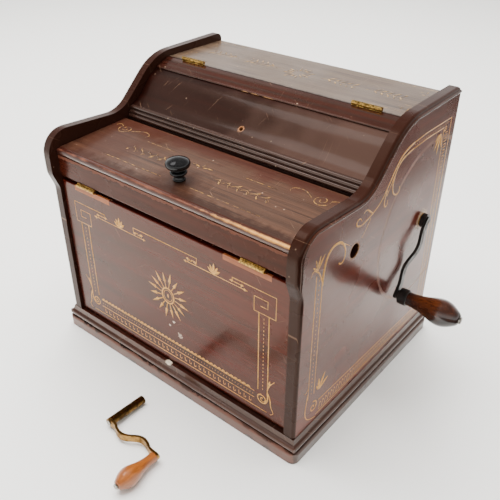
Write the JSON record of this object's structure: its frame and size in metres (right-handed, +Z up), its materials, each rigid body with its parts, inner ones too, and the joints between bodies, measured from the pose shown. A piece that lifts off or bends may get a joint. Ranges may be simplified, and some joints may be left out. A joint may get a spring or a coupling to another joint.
{
  "type": "hand-cranked paper-roll organette",
  "caption": "Table-top paper-roll organette: dark wooden roll-top case with lid, flap and drop door, side crank driving bellows and take-up roller, and a loose rewind crank.",
  "frame": {"origin": "centre of the underside of the case, half way between the side panels' faces and at the middle of their depth", "axes": "+X towards the crank side (the right side as seen from the front door), -Y towards the front door, +Z up; the case stands on -Z"},
  "size_m": [0.4834, 0.4734, 0.3538],
  "materials": {
    "case_wood": "varnished dark reddish-brown mahogany stain with worn edges",
    "door_wood": "varnished dark mahogany stain with faded gilt stencil",
    "lid_wood": "worn dark varnish",
    "flap_wood": "varnished dark mahogany stain",
    "nosing_wood": "varnish worn to lighter wood",
    "bare_wood": "bare wood",
    "inner_wood": "plain unvarnished softwood",
    "ebonised_wood": "black gloss",
    "dark_grip_wood": "dark brown varnish",
    "light_grip_wood": "light orange-brown varnish, worn",
    "black_iron": "black japanned",
    "steel": "plain steel",
    "brass": "aged brass",
    "paper": "yellowed paper",
    "bellows_leather": "soft brown bellows leather"
  },
  "bodies": {
    "case": {"side_panel_left": "case_wood", "side_panel_right": "case_wood", "side_beads": "case_wood", "plinth_front": "case_wood", "plinth_sides": "case_wood", "plinth_rear": "case_wood", "back_panel": "case_wood", "top_board": "case_wood", "front_rail": "case_wood", "bottom_board": "inner_wood", "inner_battens": "inner_wood", "middle_board": "inner_wood", "wind_trunk": "inner_wood", "wind_chest": "inner_wood", "tracker_bar": "inner_wood", "reeds": "brass", "bearing_plates": "brass", "bearing_screws": "steel", "crank_bush": "brass", "hinge_fixed_leaves": "brass", "hinge_pins": "steel", "reservoir_springs": "steel", "feeder_cloth_left": "bellows_leather", "feeder_cloth_right": "bellows_leather", "reservoir_cloth": "bellows_leather"},
    "roll_top_flap": {"flap_panel": "flap_wood", "flap_top_rail": "flap_wood", "flap_foot_moulding": "flap_wood", "flap_hinge_leaves": "brass"},
    "lid": {"lid_board": "lid_wood", "lid_nosing": "nosing_wood", "lid_knob": "ebonised_wood", "lid_pivot_pins": "steel"},
    "front_door": {"door_panel": "door_wood", "door_patch_strips": "bare_wood", "door_hinge_leaves": "brass"},
    "crank": {"crankshaft": "black_iron", "drive_pinion": "brass", "crank_arm": "black_iron", "grip_pin": "steel"},
    "crank_grip": {"crank_grip": "dark_grip_wood", "grip_ferrule": "black_iron"},
    "rod_left": {"connecting_rod_left": "inner_wood"},
    "rod_right": {"connecting_rod_right": "inner_wood"},
    "take_up_roller": {"take_up_spool": "inner_wood", "take_up_spindle": "steel", "take_up_gear": "brass"},
    "supply_roller": {"supply_spool": "inner_wood", "supply_spindle": "steel", "music_roll": "paper"},
    "feeder_left": {"feeder_board_left": "inner_wood", "feeder_bracket_left": "black_iron"},
    "feeder_right": {"feeder_board_right": "inner_wood", "feeder_bracket_right": "black_iron"},
    "reservoir": {"reservoir_board": "inner_wood"},
    "rewind_crank": {"rewind_arm": "brass", "rewind_sleeve": "brass", "rewind_rivets": "steel"},
    "rewind_grip": {"rewind_grip": "light_grip_wood"}
  },
  "joints": [
    {"name": "flap_hinge", "type": "hinge", "parent": "case", "child": "roll_top_flap", "pos_m": [0, 0.045, 0.3462], "axis": [-1, 0, 0], "range_deg": [0, 130]},
    {"name": "lid_hinge", "type": "hinge", "parent": "case", "child": "lid", "pos_m": [0, -0.041, 0.2762], "axis": [-1, 0, 0], "range_deg": [0, 88]},
    {"name": "door_hinge", "type": "hinge", "parent": "case", "child": "front_door", "pos_m": [0, -0.1502, 0.235], "axis": [-1, 0, 0], "range_deg": [0, 110]},
    {"name": "crank_turn", "type": "hinge", "parent": "case", "child": "crank", "pos_m": [0, 0.0987, 0.2015], "axis": [1, 0, 0], "continuous": true},
    {"name": "crank_grip_spin", "type": "hinge", "parent": "crank", "child": "crank_grip", "pos_m": [0.24, 0.04286, 0.12464], "axis": [1, 0, 0], "continuous": true},
    {"name": "rod_left_pivot", "type": "hinge", "parent": "crank", "child": "rod_left", "pos_m": [-0.08, 0.0987, 0.2155], "axis": [1, 0, 0], "continuous": true},
    {"name": "rod_right_pivot", "type": "hinge", "parent": "crank", "child": "rod_right", "pos_m": [0.08, 0.0987, 0.1875], "axis": [1, 0, 0], "continuous": true},
    {"name": "take_up_turn", "type": "hinge", "parent": "case", "child": "take_up_roller", "pos_m": [0, 0.088, 0.26561], "axis": [1, 0, 0], "continuous": true},
    {"name": "supply_turn", "type": "hinge", "parent": "case", "child": "supply_roller", "pos_m": [0, -0.0614, 0.235], "axis": [1, 0, 0], "continuous": true},
    {"name": "feeder_left_swing", "type": "hinge", "parent": "case", "child": "feeder_left", "pos_m": [0, -0.127, 0.1177], "axis": [1, 0, 0], "range_deg": [-6.8, 0], "deforming": ["feeder_cloth_left"]},
    {"name": "feeder_right_swing", "type": "hinge", "parent": "case", "child": "feeder_right", "pos_m": [0, -0.127, 0.1177], "axis": [1, 0, 0], "range_deg": [0, 6.8], "deforming": ["feeder_cloth_right"]},
    {"name": "reservoir_swing", "type": "hinge", "parent": "case", "child": "reservoir", "pos_m": [0, -0.127, 0.1283], "axis": [-1, 0, 0], "range_deg": [0, 7], "stiffness_Nm_per_rad": 2, "springref_deg": -14.32, "deforming": ["reservoir_cloth", "reservoir_springs"]},
    {"name": "rewind_crank_lift", "type": "slide", "parent": "case", "child": "rewind_crank", "axis": [0, 0, 1], "range_m": [0, 0.1]},
    {"name": "rewind_grip_spin", "type": "hinge", "parent": "rewind_crank", "child": "rewind_grip", "pos_m": [0.0753, -0.2925, 0.0115], "axis": [0, -0.9979, 0.0645], "continuous": true}
  ],
  "couplings": [
    {"joint": "take_up_turn", "follows": "crank_turn", "ratio": -0.44444},
    {"joint": "rod_left_pivot", "follows": "crank_turn", "ratio": -1},
    {"joint": "rod_right_pivot", "follows": "crank_turn", "ratio": -1}
  ]
}
